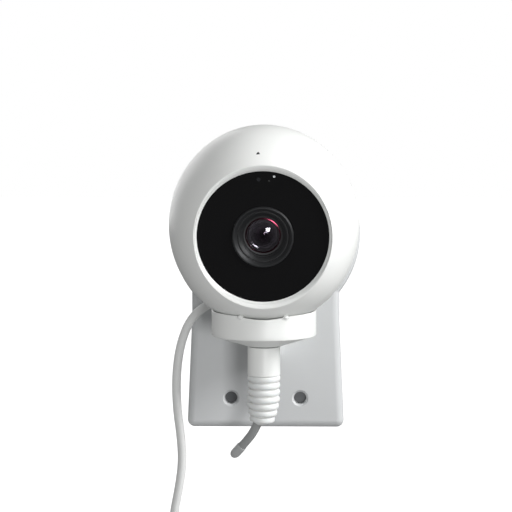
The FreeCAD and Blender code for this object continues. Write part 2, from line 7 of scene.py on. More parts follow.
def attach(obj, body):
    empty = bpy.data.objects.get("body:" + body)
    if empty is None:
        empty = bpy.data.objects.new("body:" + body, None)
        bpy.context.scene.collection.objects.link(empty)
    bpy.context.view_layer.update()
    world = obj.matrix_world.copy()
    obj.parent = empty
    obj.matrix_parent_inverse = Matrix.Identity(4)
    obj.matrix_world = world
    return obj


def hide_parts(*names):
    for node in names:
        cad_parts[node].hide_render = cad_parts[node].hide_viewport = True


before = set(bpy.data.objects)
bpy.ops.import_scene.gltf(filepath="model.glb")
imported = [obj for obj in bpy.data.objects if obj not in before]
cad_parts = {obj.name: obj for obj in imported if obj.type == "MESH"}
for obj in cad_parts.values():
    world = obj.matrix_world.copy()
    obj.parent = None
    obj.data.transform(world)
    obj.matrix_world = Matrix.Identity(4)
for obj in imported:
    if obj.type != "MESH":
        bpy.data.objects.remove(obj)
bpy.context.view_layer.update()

mm = 0.001
headCentre = Vector((0.0, -0.052, 0.053))  # where the pan and tilt axes cross
headHalfWidth = 38.0 * mm  # along the tilt axis
headRadius = 40.0 * mm  # across it
restTilt = 6.5  # degrees that the lens looks down by at rest
tiltDown = Matrix.Rotation(math.radians(restTilt), 4, "X")
headTurn = Matrix.Translation(headCentre) @ tiltDown @ Matrix.Translation(-headCentre)
onWallSide, onCollar, onHead, onButton = "mount", "collar", "head", "button"


# small helpers
def toLinear(hexColour):
    parts = [int(hexColour[k:k + 2], 16) / 255 for k in (1, 3, 5)]
    return tuple(c / 12.92 if c <= 0.04045 else ((c + 0.055) / 1.055) ** 2.4 for c in parts) + (1.0,)


def addNode(tree, kind, settings=None, inputs=None):
    # settings are the node's own properties; an input takes a value, or the output socket it is linked to
    node = tree.nodes.new(kind)
    for name, value in (settings or {}).items():
        setattr(node, name, value)
    for name, value in (inputs or {}).items():
        if isinstance(value, bpy.types.NodeSocket):
            tree.links.new(value, node.inputs[name])
        else:
            node.inputs[name].default_value = value
    return node


def startMaterial(name):
    material = bpy.data.materials.new(name)
    material.use_nodes = True
    tree = material.node_tree
    tree.nodes.clear()
    output = addNode(tree, "ShaderNodeOutputMaterial")
    coords = addNode(tree, "ShaderNodeTexCoord")
    return material, tree, output, coords


def endMaterial(tree, output, shader, **values):
    for name, value in values.items():
        shader.inputs[name.replace("_", " ")].default_value = value
    tree.links.new(shader.outputs["BSDF"], output.inputs["Surface"])


def smoothByAngle(obj, degrees=35):
    mesh = obj.data
    mesh.polygons.foreach_set("use_smooth", [True] * len(mesh.polygons))
    edit = bmesh.new()
    edit.from_mesh(mesh)
    for edge in edit.edges:
        edge.smooth = edge.is_manifold and edge.calc_face_angle(0.0) < math.radians(degrees)
    edit.to_mesh(mesh)
    edit.free()


def pieceFromMesh(name, mesh, material, body, nodes=(), angle=35):
    # pieces of the head are drawn level and lean with it here
    if body in (onHead, onButton):
        mesh.transform(headTurn)
    obj = bpy.data.objects.new(name, mesh)
    bpy.context.scene.collection.objects.link(obj)
    mesh.materials.clear()
    mesh.materials.append(material)
    smoothByAngle(obj, angle)
    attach(obj, body)
    if nodes:
        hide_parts(*nodes)
    return obj


def meshFrom(name, points, faces):
    mesh = bpy.data.meshes.new(name)
    mesh.from_pydata([tuple(p) for p in points], [], faces)
    mesh.validate()
    return mesh


def outwards(mesh):
    edit = bmesh.new()
    edit.from_mesh(mesh)
    bmesh.ops.remove_doubles(edit, verts=edit.verts, dist=1e-6)
    bmesh.ops.recalc_face_normals(edit, faces=edit.faces)
    edit.to_mesh(mesh)
    edit.free()


def closedMesh(name, rows, chain=True):
    # rows of points with one count, each row a ring
    # a chain joins its last row to its first, else both ends are capped
    count = len(rows[0])
    faces = []
    for s in range(len(rows) - (0 if chain else 1)):
        t = (s + 1) % len(rows)
        for k in range(count):
            m = (k + 1) % count
            faces.append((s * count + k, s * count + m, t * count + m, t * count + k))
    if not chain:
        faces.append(tuple(range(count))[::-1])
        faces.append(tuple(range((len(rows) - 1) * count, len(rows) * count)))
    mesh = meshFrom(name, [point for row in rows for point in row], faces)
    outwards(mesh)
    return mesh


def ringPoints(count):
    # cosine and sine of the points of a ring
    return [(math.cos(math.tau * s / count), math.sin(math.tau * s / count)) for s in range(count)]


def roundCorners(profile, radii, steps=5):
    # a closed outline of 2D points in mm; each corner with a radius becomes an arc
    result = []
    count = len(profile)
    for k, (point, radius) in enumerate(zip(profile, radii)):
        corner = Vector(point)
        if radius <= 0:
            result.append(corner)
            continue
        before = Vector(profile[k - 1]) - corner
        after = Vector(profile[(k + 1) % count]) - corner
        half = before.angle(after) / 2
        reach = min(radius / math.tan(half), 0.48 * before.length, 0.48 * after.length)
        start, end = corner + before.normalized() * reach, corner + after.normalized() * reach
        for s in range(steps + 1):
            t = s / steps
            result.append(start * (1 - t) ** 2 + corner * 2 * t * (1 - t) + end * t ** 2)
    return result


def turned(name, profile, centre, axis="Y", segments=128):
    # turn a closed outline of (radius, along) in mm about an axis through centre; along is +Y or +Z
    rows = []
    for c, n in ringPoints(segments):
        row = []
        for radius, along in profile:
            offset = (radius * c, along, radius * n) if axis == "Y" else (radius * c, radius * n, along)
            row.append(centre + Vector(offset) * mm)
        rows.append(row)
    return closedMesh(name, rows)


def roundedLoop(halfX, halfY, corner, steps=8):
    corner = min(corner, halfX, halfY)
    loop = []
    for sx, sy, start in ((1, 1, 0), (-1, 1, 90), (-1, -1, 180), (1, -1, 270)):
        for k in range(steps + 1):
            a = math.radians(start + 90 * k / steps)
            x, y = corner * math.cos(a), corner * math.sin(a)
            loop.append((sx * (halfX - corner) + x, sy * (halfY - corner) + y))
    return loop


def lofted(name, sections):
    return closedMesh(name, sections, chain=False)


# camera
print("camera")
cameraLook = {
    "elevation": 4.5,  # degrees above level
    "azimuth": 1.2,
    "distance": 600.0 * mm,
    "lens": 105.5,
    "aimRight": -3.2 * mm,  # from the head's centre, in the picture's own directions
    "aimUp": -12.4 * mm,
}


def placeCamera(look):
    a, e = math.radians(look["azimuth"]), math.radians(look["elevation"])
    back = Vector((math.sin(a) * math.cos(e), -math.cos(a) * math.cos(e), math.sin(e)))
    right = Vector((math.cos(a), math.sin(a), 0.0))
    up = back.cross(right)
    aim = headCentre + right * look["aimRight"] + up * look["aimUp"]
    data = bpy.data.cameras.new("camera")
    data.lens = look["lens"]
    data.sensor_width = 36.0
    data.clip_start = 0.02
    camera = bpy.data.objects.new("camera", data)
    bpy.context.scene.collection.objects.link(camera)
    turn = Matrix((right, up, back)).transposed().to_4x4()
    camera.matrix_world = Matrix.Translation(aim + back * look["distance"]) @ turn
    bpy.context.scene.camera = camera


placeCamera(cameraLook)


# materials
print("materials")


def grainedMaterial(name, look):
    # a moulded or worked surface: two near colours in soft patches, a grain in the gloss and in the relief
    material, tree, output, coords = startMaterial(name)
    place = coords.outputs["Object"]
    patches = addNode(tree, "ShaderNodeTexNoise", None,
                      {"Vector": place, "Scale": 1 / (look["patch"] * mm), "Detail": 3.0, "Roughness": 0.5})
    colours = addNode(tree, "ShaderNodeMix", {"data_type": "RGBA"}, {"Factor": patches.outputs["Fac"]})
    colours.inputs["A"].default_value = toLinear(look["colour"])
    colours.inputs["B"].default_value = toLinear(look["second"])
    grain = addNode(tree, "ShaderNodeTexNoise", None,
                    {"Vector": place, "Scale": 1 / (look["grain"] * mm), "Detail": 2.0, "Roughness": 0.6})
    gloss = addNode(tree, "ShaderNodeMapRange", None,
                    {"Value": grain.outputs["Fac"], "From Min": 0.3, "From Max": 0.7,
                     "To Min": look["roughness"][0], "To Max": look["roughness"][1]})
    relief = addNode(tree, "ShaderNodeBump", None,
                     {"Height": grain.outputs["Fac"], "Strength": look["relief"],
                      "Distance": look["depth"] * mm})
    shader = addNode(tree, "ShaderNodeBsdfPrincipled", None,
                     {"Base Color": colours.outputs["Result"], "Roughness": gloss.outputs["Result"],
                      "Normal": relief.outputs["Normal"]})
    endMaterial(tree, output, shader, **look["shader"])
    return material


def finish(colour, second, patch, grain, roughness, relief, depth, **shader):
    # patch and grain in mm, roughness from and to, strength of the relief and its depth in mm
    return {"colour": colour, "second": second, "patch": patch, "grain": grain, "roughness": roughness,
            "relief": relief, "depth": depth, "shader": shader}


finishes = {
    # satin ABS from a finely sparked mould: soft highlights, no visible colour break
    "whiteAbs": finish("#F3F4F2", "#EEF0EE", 14.0, 0.35, (0.34, 0.44), 0.10, 0.02, IOR=1.5),
    # the wall plate: the same plastic settings in a mid grey, darker than the white parts, moulded in a
    # coarser, flatter tool
    "plateGrey": finish("#CDCFD0", "#C7C9CA", 18.0, 0.5, (0.46, 0.58), 0.18, 0.03, IOR=1.5),
    # thermoplastic elastomer: matt, a little warmer, and it scatters light under the skin
    "softElastomer": finish("#F0F0EE", "#E6E6E4", 5.0, 0.25, (0.50, 0.62), 0.15, 0.02, IOR=1.46,
                            Subsurface_Weight=0.06),
    # PVC cord sheath, extruded: smooth with faint drawn waviness
    "pvcSheath": finish("#E9EAE9", "#DEDFDE", 7.0, 0.6, (0.38, 0.50), 0.12, 0.03, IOR=1.53),
    # the probe lead's sheath, the same PVC in mid grey
    "greyPvc": finish("#A2A4A4", "#929494", 4.0, 0.4, (0.36, 0.48), 0.12, 0.03, IOR=1.53),
    # the probe's cap: polished ABS that shows the light on one side
    "probeAbs": finish("#B4B6B6", "#A8AAAA", 3.0, 0.3, (0.18, 0.26), 0.05, 0.02, IOR=1.5),
    # black ABS, lightly textured, for parts that should not be seen
    "blackAbs": finish("#202122", "#191A1B", 6.0, 0.4, (0.42, 0.55), 0.15, 0.03, IOR=1.5),
    # anodised and bead-blasted barrel: dull black that greys where the light grazes it
    "blackAnodised": finish("#232426", "#1C1D1F", 3.0, 0.18, (0.42, 0.52), 0.12, 0.015, Metallic=0.35),
    # polished black acrylic: near black, with a clear mirror-like skin
    "blackAcrylic": finish("#161617", "#131314", 20.0, 2.5, (0.07, 0.09), 0.01, 0.01, IOR=1.49),
    # tinted window over a sensor: as the panel, a shade lighter
    "tintedWindow": finish("#2A2B2E", "#232427", 0.8, 0.5, (0.10, 0.16), 0.02, 0.01, IOR=1.49),
    # clear light pipe, frosted at its face, which shows as a pale point
    "frostedPipe": finish("#D8DCDE", "#C4C8CA", 0.5, 0.12, (0.25, 0.40), 0.2, 0.01, IOR=1.49),
    # zinc-plated steel: bright with a faint crystalline patchiness
    "zincSteel": finish("#C9CBCF", "#B2B5BA", 1.2, 0.2, (0.24, 0.38), 0.08, 0.01, Metallic=1.0),
    # nickel-plated sheet of the plug's shell, rolled, so its grain is fine
    "nickelSheet": finish("#CFCEC9", "#BFBEBA", 2.5, 0.25, (0.16, 0.26), 0.05, 0.01, Metallic=1.0),
    # turned brass pillars
    "turnedBrass": finish("#C9A357", "#B98F45", 1.5, 0.15, (0.22, 0.34), 0.1, 0.01, Metallic=1.0),
    # solder mask over glass-fibre board: green, with the weave just showing in the gloss
    "solderMask": finish("#1F5A38", "#174A2D", 3.5, 0.5, (0.28, 0.42), 0.1, 0.02, IOR=1.5),
    # pressed paper of the speaker cone
    "pressedPaper": finish("#2B2A28", "#222120", 1.5, 0.3, (0.75, 0.9), 0.4, 0.05, IOR=1.45),
    # nitrile rubber of the friction washers and the microphone boot
    "nitrile": finish("#1D1D1E", "#171718", 2.0, 0.3, (0.6, 0.75), 0.2, 0.03, IOR=1.5),
    # the same rubber look in grey, as discs in the wall plate's screw holes: painted shade standing in for
    # the dark inside of the holes
    "holeShadeGrey": finish("#7C7E80", "#747678", 2.0, 0.3, (0.6, 0.75), 0.2, 0.03, IOR=1.5),
    # dark epoxy of the infrared LEDs
    "tintedEpoxy": finish("#2A2030", "#1F1824", 1.0, 0.3, (0.08, 0.14), 0.02, 0.01, IOR=1.55),
    # silicon sensor under its cover glass: blue-grey sheen
    "silicon": finish("#2C3444", "#23293A", 1.0, 0.1, (0.10, 0.18), 0.02, 0.005, Metallic=0.6),
}
materials = {name: grainedMaterial(name, look) for name, look in finishes.items()}


def glassMaterial(name, look):
    # a lens: clear or black under a coating whose colour shows only in what it mirrors
    material, tree, output, coords = startMaterial(name)
    dust = addNode(tree, "ShaderNodeTexNoise", None,
                   {"Vector": coords.outputs["Object"], "Scale": 1 / (look["dust"] * mm), "Detail": 3.0})
    gloss = addNode(tree, "ShaderNodeMapRange", None,
                    {"Value": dust.outputs["Fac"], "From Min": 0.4, "From Max": 0.8,
                     "To Min": look["roughness"][0], "To Max": look["roughness"][1]})
    tint = addNode(tree, "ShaderNodeMix", {"data_type": "RGBA"}, {"Factor": dust.outputs["Fac"]})
    tint.inputs["A"].default_value = toLinear(look["colour"])
    tint.inputs["B"].default_value = toLinear(look["second"])
    shader = addNode(tree, "ShaderNodeBsdfPrincipled", None,
                     {"Base Color": tint.outputs["Result"], "Roughness": gloss.outputs["Result"]})
    endMaterial(tree, output, shader, **look["shader"])
    return material


glasses = {
    # the front element: clear crown glass with a faint violet coating
    "coatedGlass": {"colour": "#F4F0F8", "second": "#EEEAF6", "dust": 1.5, "roughness": (0.0, 0.02),
                    "shader": {"IOR": 1.52, "Transmission_Weight": 1.0,
                               "Specular_Tint": toLinear("#F2EAF6")}},
    # the element behind it looks into the dark: painted shade, drawn black in place of that dark, with a
    # clean mirror skin
    "shadeBlackGlass": {"colour": "#0B0A0D", "second": "#100C12", "dust": 1.2, "roughness": (0.02, 0.05),
                  "shader": {"IOR": 1.5, "Specular_IOR_Level": 0.3,
                             "Specular_Tint": toLinear("#FFE6F4")}},
    # the blackened edge of the glass under its coating, which turns a light's reflection magenta
    "magentaCoat": {"colour": "#12070B", "second": "#1A0910", "dust": 0.8, "roughness": (0.13, 0.17),
                    "shader": {"IOR": 1.6, "Specular_Tint": toLinear("#FF7096")}},
    # the seat of the inner element: polished black ring
    "polishedBlack": {"colour": "#0D0D0E", "second": "#111112", "dust": 0.8, "roughness": (0.10, 0.14),
                      "shader": {"IOR": 1.9}},
}
materials.update({name: glassMaterial(name, look) for name, look in glasses.items()})


def strapMaterial(name, look):
    # woven nylon: two crossing sets of threads drawn coarse enough to show; a wave repeats each 0.314 units
    material, tree, output, coords = startMaterial(name)
    place = coords.outputs["Object"]
    along = addNode(tree, "ShaderNodeTexWave", {"wave_type": "BANDS", "bands_direction": "X"},
                    {"Vector": place, "Scale": 0.314 / (look["thread"] * mm), "Distortion": 0.0})
    around = addNode(tree, "ShaderNodeTexWave", {"wave_type": "BANDS", "bands_direction": "DIAGONAL"},
                     {"Vector": place, "Scale": 0.314 / (look["thread"] * 1.6 * mm), "Distortion": 0.6})
    weave = addNode(tree, "ShaderNodeMix", {"data_type": "FLOAT"},
                    {"Factor": 0.5, "A": along.outputs["Fac"], "B": around.outputs["Fac"]})
    colours = addNode(tree, "ShaderNodeMix", {"data_type": "RGBA"}, {"Factor": weave.outputs["Result"]})
    colours.inputs["A"].default_value = toLinear(look["colour"])
    colours.inputs["B"].default_value = toLinear(look["second"])
    relief = addNode(tree, "ShaderNodeBump", None,
                     {"Height": weave.outputs["Result"], "Strength": 0.6, "Distance": 0.12 * mm})
    shader = addNode(tree, "ShaderNodeBsdfPrincipled", None,
                     {"Base Color": colours.outputs["Result"], "Normal": relief.outputs["Normal"]})
    endMaterial(tree, output, shader, Roughness=0.85, Sheen_Weight=0.3, IOR=1.45)
    return material


strapLook = {"thread": 0.45, "colour": "#5A5C5E", "second": "#8A8C8E"}
materials["wovenNylon"] = strapMaterial("wovenNylon", strapLook)


# cords
print("cords")
powerCord = {
    "diameter": 3.8,
    "length": 1.78,  # metres
    "exit": (-11, -13, 19.3),
    # from inside the gland, out to the left and down in front of the wall
    "route": [(-8.5, -13, 19.3), (-11, -13, 19.3), (-18.3, -12.9, 18.9), (-25.4, -12.4, 16.3),
              (-31.4, -11.6, 11.2), (-35.2, -10.8, 3.6), (-37.6, -10.2, -5.9), (-38.6, -9.9, -17.2),
              (-38.2, -9.6, -29.5),
              (-36.6, -9.2, -41.3), (-36.0, -8.6, -52.6), (-37.6, -7.8, -64.0), (-40.0, -6.8, -75.5),
              (-41.2, -5.4, -88.0), (-41.0, -3.9, -100.5)],
    "tail": [(-41.0, -13.9, -119.5), (-40.6, -12.8, -126.5), (-39.8, -12.2, -133.0), (-39.8, -12.2, -136.0)],
    "coilCentre": (-15.4, -8.8, -112.0),
    "coilRadii": (25.2, 21.4, 17.6),
    "layers": 4,
    "pitch": 3.9,
    "pointsPerTurn": 24,
}
probeLead = {
    "diameter": 3.6,
    "length": 0.033,
    "exit": (0, -52, -7.5),
    "route": [(0, -52, -7.5), (0, -52, -13.2), (-0.4, -51.8, -19.2), (-1.6, -51.2, -25.0),
              (-3.6, -50.2, -30.0), (-6.2, -48.6, -34.2), (-9.0, -46.7, -37.6)],
}


def coilTurns(look):
    # the turns go in and out through the layers, from the one by the wall to the front one
    x, y, z = look["coilCentre"]
    order = []
    for layer in range(look["layers"]):
        depth = y + look["pitch"] * ((look["layers"] - 1) / 2 - layer)
        radii = look["coilRadii"] if layer % 2 == 0 else look["coilRadii"][::-1]
        order += [(radius, depth) for radius in radii]
    points = []
    count = look["pointsPerTurn"]
    for turn, (radius, depth) in enumerate(order):
        nextRadius, nextDepth = order[min(turn + 1, len(order) - 1)]
        for k in range(count):
            t = max(0.0, (k / count - 0.75) / 0.25)  # the change of place takes the last quarter turn
            t = t * t * (3 - 2 * t)
            r, d = radius + (nextRadius - radius) * t, depth + (nextDepth - depth) * t
            a = math.pi + 2 * math.pi * k / count
            points.append((x + r * math.cos(a), d, z + r * math.sin(a)))
    radius, depth = order[-1]
    points.append((x - radius, depth, z))
    return points


def cordCurve(name, points, diameter, material):
    data = bpy.data.curves.new(name, "CURVE")
    data.dimensions = "3D"
    spline = data.splines.new("NURBS")
    spline.points.add(len(points) - 1)
    for point, place in zip(spline.points, points):
        point.co = (place[0] * mm, place[1] * mm, place[2] * mm, 1.0)
    spline.order_u = 3
    spline.use_endpoint_u = True
    data.resolution_u = 6
    data.bevel_depth = diameter * mm / 2
    data.bevel_resolution = 5
    data.use_fill_caps = True
    data.materials.append(material)
    cord = bpy.data.objects.new(name, data)
    bpy.context.scene.collection.objects.link(cord)
    return cord


powerRoute = powerCord["route"] + coilTurns(powerCord) + powerCord["tail"]
powerLine = cordCurve("powerCord", powerRoute, powerCord["diameter"], materials["pvcSheath"])
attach(powerLine, onWallSide)
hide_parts("power_cord", "cord_coil", "cord_tail")
leadLine = cordCurve("probeLead", probeLead["route"], probeLead["diameter"], materials["greyPvc"])
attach(leadLine, onWallSide)
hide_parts("probe_lead")


# cord pieces
plugLook = {"top": -133.0, "x": -39.8, "y": -12.2, "tailLength": 9.0, "bodyLength": 24.0,
            "halfWidth": 7.8, "halfDepth": 4.0, "corner": 2.2, "grips": 5, "gripDepth": 0.35}
tieLook = {"halfRadial": 6.6, "halfDepth": 8.5, "corner": 2.6, "thickness": 0.8, "halfWidth": 4.0,
           "turnRadius": 21.4, "edge": 0.25}


def plugBody(look):
    x, y, top = look["x"], look["y"], look["top"]
    tailEnd = top - look["tailLength"]
    low = tailEnd - look["bodyLength"]
    stations = [(top + 0.5, 2.05, 2.05, 2.05), (top + 0.4, 2.35, 2.35, 2.35)]
    for k in range(6):  # ringed strain relief
        z = top - 0.6 - 1.35 * k
        r = 2.4 + 0.2 * k
        for drop, grow in ((0, 0), (0.35, -0.3), (0.7, -0.3), (1.05, 0.1)):
            stations.append((z - drop, r + grow, r + grow, r + grow))
    w, d, c = look["halfWidth"], look["halfDepth"], look["corner"]
    stations += [(tailEnd + 0.05, 3.5, 3.4, 3.0), (tailEnd - 0.3, w - 2.0, d - 0.9, c),
                 (tailEnd - 1.2, w - 0.5, d - 0.2, c), (tailEnd - 2.6, w, d, c)]
    for k in range(look["grips"]):
        z = tailEnd - 6.0 - 2.2 * k
        for drop, g in ((0, 0), (0.4, look["gripDepth"]), (0.8, look["gripDepth"]), (1.2, 0)):
            stations.append((z - drop, w - g, d - g * 0.5, c))
    stations += [(low + 0.8, w, d, c), (low + 0.2, w - 0.25, d - 0.25, c), (low, w - 0.8, d - 0.8, c)]
    sections = [[Vector((x + u, y + v, z)) * mm for u, v in roundedLoop(halfW, halfD, corner)]
                for z, halfW, halfD, corner in stations]
    return lofted("usbPlugBody", sections)


def tieStrap(look, coil):
    # a woven strap once round the turns at the top of the coil
    x, y, z = coil[0], coil[1], coil[2] + look["turnRadius"]
    inner = roundedLoop(look["halfDepth"] - look["thickness"], look["halfRadial"] - look["thickness"],
                        look["corner"] - look["thickness"])
    outer = roundedLoop(look["halfDepth"], look["halfRadial"], look["corner"])
    w, e = look["halfWidth"], look["edge"]
    rows = []
    for across, loop, shrink in ((-w, inner, 0), (-w, outer, -e), (-w + e, outer, 0), (w - e, outer, 0),
                                 (w, outer, -e), (w, inner, 0)):
        row = []
        for u, v in loop:
            scale = 1 + shrink / math.hypot(u, v)
            row.append(Vector((x + across, y + u * scale, z + v * scale)) * mm)
        rows.append(row)
    return closedMesh("cordTie", rows)


plug = pieceFromMesh("usbPlugBody", plugBody(plugLook), materials["whiteAbs"], onWallSide,
                     ["usb_plug_body"])
tie = pieceFromMesh("cordTie", tieStrap(tieLook, powerCord["coilCentre"]), materials["wovenNylon"],
                    onWallSide, ["cord_tie"])


# tools that make a mesh from rings, cut it, or bake a node tree
def ringed(name, rings, centre, segments):
    # a closed chain of oval rings about the Y axis: (half width, half height, y) in mm
    ring = ringPoints(segments)
    return closedMesh(name, [[centre + Vector((halfX * c, y, halfZ * n)) * mm for c, n in ring]
                             for halfX, halfZ, y in rings])


def rodMesh(name, stations, start, along, segments=96, squash=1.0):
    # a solid of round sections along a line: stations are (distance, radius) in mm
    side = along.orthogonal().normalized()
    other = along.cross(side).normalized()
    ring = [side * c + other * (squash * n) for c, n in ringPoints(segments)]
    return lofted(name, [[start + (along * distance + offset * radius) * mm for offset in ring]
                         for distance, radius in stations])


def cutAway(name, mesh, cutters):
    body = bpy.data.objects.new(name, mesh)
    bpy.context.scene.collection.objects.link(body)
    tools = []
    for k, cutter in enumerate(cutters):
        tool = bpy.data.objects.new(f"{name}Cutter{k}", cutter)
        bpy.context.scene.collection.objects.link(tool)
        tools.append(tool)
        modifier = body.modifiers.new(f"cut{k}", "BOOLEAN")
        modifier.object = tool
        modifier.operation = "DIFFERENCE"
        modifier.solver = "EXACT"
    graph = bpy.context.evaluated_depsgraph_get()
    result = bpy.data.meshes.new_from_object(body.evaluated_get(graph))
    for leftover in tools + [body]:
        bpy.data.objects.remove(leftover)
    return result


def bakeNodes(name, tree, values, base):
    # run a node tree on a base mesh and give the result as a plain mesh
    host = bpy.data.objects.new(name, base)
    bpy.context.scene.collection.objects.link(host)
    modifier = host.modifiers.new("nodes", "NODES")
    modifier.node_group = tree
    for item in tree.interface.items_tree:
        if item.item_type == "SOCKET" and item.in_out == "INPUT" and item.name in values:
            modifier[item.identifier] = values[item.name]
    graph = bpy.context.evaluated_depsgraph_get()
    result = bpy.data.meshes.new_from_object(host.evaluated_get(graph))
    bpy.data.objects.remove(host)
    return result


# the head: two shells that meet behind the tilt axis
print("head")
headShell = {
    "wall": 2.2,
    "faceY": -28.6,  # flat front, from the head's centre
    "lipY": -28.0,  # inner edge of the sloping lip
    "boreRadius": 26.2,
    "splitY": 3.0,
    "seam": 0.16,  # the chamfer on each side of the seam
    "segments": 224,
    "slotHalf": (6.7, 12.95),  # opening below for the tilt post
    "slotCorner": 0.3,
    "slotReach": (-44, -24),
    "grille": (11.2, -6.0),  # radius and height of the speaker opening
    "button": (3.55, 20.0),
}


def headSection(y, inset=0.0):
    reach = math.sqrt(max(1 - (y / (headRadius / mm - inset)) ** 2, 0))
    return (headHalfWidth / mm - inset) * reach, (headRadius / mm - inset) * reach, y


def frontRings(look):
    inset, seam = look["wall"], look["seam"]
    outside, inside = headRadius / mm, headRadius / mm - inset
    outerTurn = math.asin(-28.25 / outside)
    innerTurn = math.asin(-25.2 / inside)
    seamTurn, innerSeam = math.asin((look["splitY"] - seam) / outside), math.asin(look["splitY"] / inside)
    rings = []
    for k in range(49):  # over the outside, from the face to the seam
        rings.append(headSection(outside * math.sin(outerTurn + (seamTurn - outerTurn) * k / 48)))
    edge = headSection(look["splitY"])
    rings.append((edge[0] - seam, edge[1] - seam, look["splitY"]))
    for k in range(25):  # back along the inside
        rings.append(headSection(inside * math.sin(innerSeam + (innerTurn - innerSeam) * k / 24), inset))
    bore, lip, face = look["boreRadius"], look["lipY"], look["faceY"]
    across, up, _ = headSection(face)
    rings += [(bore, bore, -25.6), (bore, bore, lip - 0.02), (bore + 0.03, bore + 0.05, lip - 0.07),
              (across - 0.16, up - 0.40, face + 0.03), (across - 0.02, up - 0.22, face - 0.005),
              (across + 0.14, up - 0.02, face + 0.05)]
    return rings


def rearRings(look):
    inset, seam, split = look["wall"], look["seam"], look["splitY"]
    outside, inside = headRadius / mm, headRadius / mm - inset
    first, last = math.asin((split + seam) / outside), math.radians(88.5)
    rings = [headSection(outside * math.sin(first + (last - first) * k / 56)) for k in range(57)]
    innerFirst = math.asin(split / inside)
    rings += [headSection(inside * math.sin(last + (innerFirst - last) * k / 32), inset) for k in range(33)]
    edge = headSection(split)
    rings.append((edge[0] - seam, edge[1] - seam, split))
    return rings


def followSpheroid(obj):
    # the outside takes the spheroid's own direction, so an opening leaves no dent in the light
    mesh = obj.data
    normals = [Vector(corner.vector) for corner in mesh.corner_normals]
    for face in mesh.polygons:
        for corner in face.loop_indices:
            place = headTurn.inverted() @ mesh.vertices[mesh.loops[corner].vertex_index].co - headCentre
            slope = Vector((place.x / headHalfWidth ** 2, place.y / headRadius ** 2,
                            place.z / headRadius ** 2))
            slope = headTurn.to_3x3() @ slope
            slope.normalize()
            if face.normal.dot(slope) > 0.99:
                normals[corner] = slope
    mesh.normals_split_custom_set([tuple(n) for n in normals])


def slotCutter(look):
    halfX, halfY = look["slotHalf"]
    loop = roundedLoop(halfX, halfY, look["slotCorner"])
    return lofted("slotCutter", [[headCentre + Vector((x, y, z)) * mm for x, y in loop]
                                 for z in look["slotReach"]])


def backCutter(name, radius, height):
    start = headCentre + Vector((0, 20, height)) * mm
    return rodMesh(name, [(0, radius), (40, radius)], start, Vector((0, 1, 0)), 128)


def headPieces(look):
    front = cutAway("frontShell", ringed("frontShell", frontRings(look), headCentre, look["segments"]),
                    [slotCutter(look)])
    rear = cutAway("rearShell", ringed("rearShell", rearRings(look), headCentre, look["segments"]),
                   [slotCutter(look), backCutter("grilleCutter", *look["grille"]),
                    backCutter("buttonCutter", *look["button"])])
    for name, mesh, node in (("frontShell", front, "front_shell"), ("rearShell", rear, "rear_shell")):
        obj = pieceFromMesh(name, mesh, materials["whiteAbs"], onHead, [node], angle=30)
        followSpheroid(obj)


headPieces(headShell)


# the face: bezel ring, black panel, and the barrel with its lenses
print("face")
faceLook = {
    "bezel": [(26.17, -27.98), (26.17, -23.0), (24.4, -23.0), (24.4, -25.7), (25.38, -25.7), (25.38, -27.2)],
    "bezelRadii": [0.10, 0.2, 0.2, 0.2, 0.05, 0.10],
    "barrel": [(11.35, -28.0), (11.8, -27.6), (11.8, -17.0), (6.3, -17.0), (6.3, -22.5), (7.7, -22.5),
               (7.7, -24.9), (8.2, -25.15), (8.25, -25.75), (9.42, -26.75), (9.62, -26.75), (9.62, -26.1),
               (9.98, -26.1), (9.98, -27.02), (11.12, -28.0)],
    "barrelRadii": [0.15, 0.15, 0.2, 0.1, 0.1, 0.05, 0.12, 0.12, 0.1, 0.08, 0.06, 0.04, 0.04, 0.1, 0.12],
    "lensRadius": 7.65,
    "lensSag": 1.6,
    "lensFront": -25.0,
    "lensBack": -22.6,
    "lensHollow": 14.0,
    "innerRadius": 5.2,
    "innerSphere": 6.6,
    "innerFront": -23.4,
    "innerBack": -19.6,
    "retainer": [(7.62, -24.1), (7.62, -23.7), (6.9, -23.6), (6.05, -22.3), (6.05, -22.9), (6.9, -24.0)],
    # two rings that catch the front light: a coated edge on the glass, and the seat of the inner element
    "rim": [(6.45, -23.4), (6.45, -23.96), (7.15, -23.84), (7.3, -23.7), (7.3, -23.4)],
    "rimRadii": [0.05, 0.03, 0.05, 0.05, 0.05],
    "seat": [(5.0, -22.60), (5.8, -22.74), (5.95, -22.7), (5.95, -22.0), (5.0, -22.0)],
    "seatRadii": [0.05, 0.05, 0.05, 0.05, 0.05],
}


def domeProfile(edgeRadius, sphere, front, back, steps=14):
    # half outline of a lens from its axis at the front to its axis at the back
    outline = []
    for k in range(steps + 1):
        r = max(edgeRadius * math.sin(math.pi / 2 * k / steps), 0.0)
        outline.append((r, front + sphere - math.sqrt(sphere ** 2 - r ** 2)))
    outline.append((edgeRadius, back))
    return outline


def lensMesh(name, outline, backSphere=None, steps=10):
    # a closed lens, turned about the camera's axis, hollow at the back if it has a back sphere
    radius, back = outline[-1]
    stations = [(y, r) for r, y in outline]
    if backSphere:
        hollow = radius * 0.96
        edge = math.sqrt(backSphere ** 2 - hollow ** 2)
        for k in range(1, steps + 1):
            r = hollow * math.cos(math.pi / 2 * k / steps)
            stations.append((back - (math.sqrt(backSphere ** 2 - r ** 2) - edge), r))
    return lofted(name, [[headCentre + Vector((max(r, 0.02) * c, y, max(r, 0.02) * n)) * mm
                          for c, n in ringPoints(96)] for y, r in stations])


